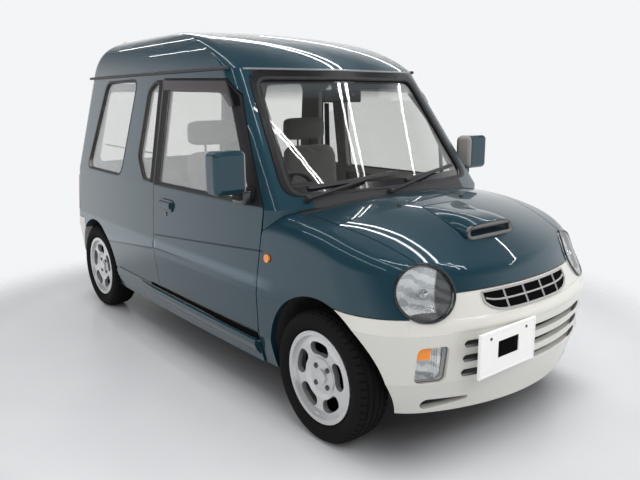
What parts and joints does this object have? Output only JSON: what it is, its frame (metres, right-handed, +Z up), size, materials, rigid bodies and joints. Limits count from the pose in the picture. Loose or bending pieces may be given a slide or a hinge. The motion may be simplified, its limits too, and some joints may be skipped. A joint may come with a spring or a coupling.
{
  "type": "three-door high-roof kei car",
  "caption": "High-roof light hatchback in teal green with an ivory bumper: doors, bonnet and tailgate open, wheels roll and steer.",
  "frame": {"origin": "on the road under the middle of the car's length and width", "axes": "+X forward along the car, +Y to the car's left, +Z up"},
  "size_m": [3.295, 1.716, 1.6949],
  "materials": {
    "paint_green": "metallic clear coat, deep teal green",
    "paint_pearl": "pearl ivory silver clear coat",
    "clear_glass": "clear, lightly tinted",
    "smoked_glass": "smoky clear plastic",
    "lamp_lens": "clear lens",
    "red_lens": "red lens",
    "amber_lens": "amber lens",
    "bright_plate": "bright reflector",
    "grille_silver": "silver painted mesh",
    "plate_white": "plain white, blank",
    "dark_trim": "black trim",
    "cloth": "grey beige woven cloth",
    "rubber": "black tyre rubber",
    "alloy": "silver painted cast alloy",
    "steel": "plain steel",
    "iron": "cast iron and alloy lump"
  },
  "bodies": {
    "body": {"body_side_left": "paint_green", "body_side_right": "paint_green", "roof_panel": "paint_green", "fender_left": "paint_green", "fender_right": "paint_green", "cowl_panel": "dark_trim", "floor_pan": "steel", "front_bumper": "paint_pearl", "rear_bumper": "paint_pearl", "windscreen": "clear_glass", "side_glass": "clear_glass", "headlamps": "lamp_lens", "headlamp_bowls": "bright_plate", "fog_lamps": "lamp_lens", "upper_grille": "grille_silver", "number_plate": "plate_white", "side_repeaters": "amber_lens", "tail_lamps": "red_lens", "dashboard": "dark_trim", "front_seats": "cloth", "rear_seat": "cloth", "engine_block": "iron", "radiator": "dark_trim", "front_frame": "steel", "front_wheel_housings": "dark_trim", "rear_axle": "steel", "exhaust": "steel", "fuel_tank": "steel", "wipers": "dark_trim", "inside_mirror": "dark_trim"},
    "door_left": {"door_left": "paint_green", "door_glass_left": "clear_glass", "door_mirror_left": "paint_green", "door_visor_left": "smoked_glass"},
    "door_right": {"door_right": "paint_green", "door_glass_right": "clear_glass", "door_mirror_right": "paint_green", "door_visor_right": "smoked_glass"},
    "bonnet": {"bonnet": "paint_green", "bonnet_scoop": "paint_green"},
    "tailgate": {"tailgate": "paint_green", "tailgate_glass": "clear_glass"},
    "knuckle_left": {"knuckle_left": "steel"},
    "knuckle_right": {"knuckle_right": "steel"},
    "steering_wheel": {"steering_wheel": "dark_trim"},
    "wheel_front_left": {"tyre_front_left": "rubber", "rim_front_left": "alloy"},
    "wheel_front_right": {"tyre_front_right": "rubber", "rim_front_right": "alloy"},
    "wheel_rear_left": {"tyre_rear_left": "rubber", "rim_rear_left": "alloy"},
    "wheel_rear_right": {"tyre_rear_right": "rubber", "rim_rear_right": "alloy"}
  },
  "joints": [
    {"name": "door_left_hinge", "type": "hinge", "parent": "body", "child": "door_left", "pos_m": [0.756, 0.698, 0.6], "axis": [0, 0, -1], "range_deg": [0, 65]},
    {"name": "door_right_hinge", "type": "hinge", "parent": "body", "child": "door_right", "pos_m": [0.756, -0.698, 0.6], "axis": [0, 0, 1], "range_deg": [0, 65]},
    {"name": "bonnet_hinge", "type": "hinge", "parent": "body", "child": "bonnet", "pos_m": [0.8905, 0, 0.92], "axis": [0, -1, 0], "range_deg": [0, 55]},
    {"name": "tailgate_hinge", "type": "hinge", "parent": "body", "child": "tailgate", "pos_m": [-1.4245, 0, 1.4415], "axis": [0, 1, 0], "range_deg": [0, 75]},
    {"name": "steer_left", "type": "hinge", "parent": "body", "child": "knuckle_left", "pos_m": [1.0975, 0.545, 0.266], "axis": [0, 0, 1], "range_deg": [-33, 33]},
    {"name": "steer_right", "type": "hinge", "parent": "body", "child": "knuckle_right", "pos_m": [1.0975, -0.545, 0.266], "axis": [0, 0, 1], "range_deg": [-33, 33]},
    {"name": "steering_wheel_turn", "type": "hinge", "parent": "body", "child": "steering_wheel", "pos_m": [0.3825, -0.318, 0.838], "axis": [-0.848, 0, 0.5299], "range_deg": [-530, 530]},
    {"name": "wheel_front_left_roll", "type": "hinge", "parent": "knuckle_left", "child": "wheel_front_left", "pos_m": [1.0975, 0.6, 0.266], "axis": [0, 1, 0], "continuous": true},
    {"name": "wheel_front_right_roll", "type": "hinge", "parent": "knuckle_right", "child": "wheel_front_right", "pos_m": [1.0975, -0.6, 0.266], "axis": [0, 1, 0], "continuous": true},
    {"name": "wheel_rear_left_roll", "type": "hinge", "parent": "body", "child": "wheel_rear_left", "pos_m": [-1.1825, 0.6, 0.266], "axis": [0, 1, 0], "continuous": true},
    {"name": "wheel_rear_right_roll", "type": "hinge", "parent": "body", "child": "wheel_rear_right", "pos_m": [-1.1825, -0.6, 0.266], "axis": [0, 1, 0], "continuous": true}
  ],
  "couplings": [
    {"joint": "steer_right", "follows": "steer_left", "ratio": 1},
    {"joint": "steering_wheel_turn", "follows": "steer_left", "ratio": 16}
  ]
}
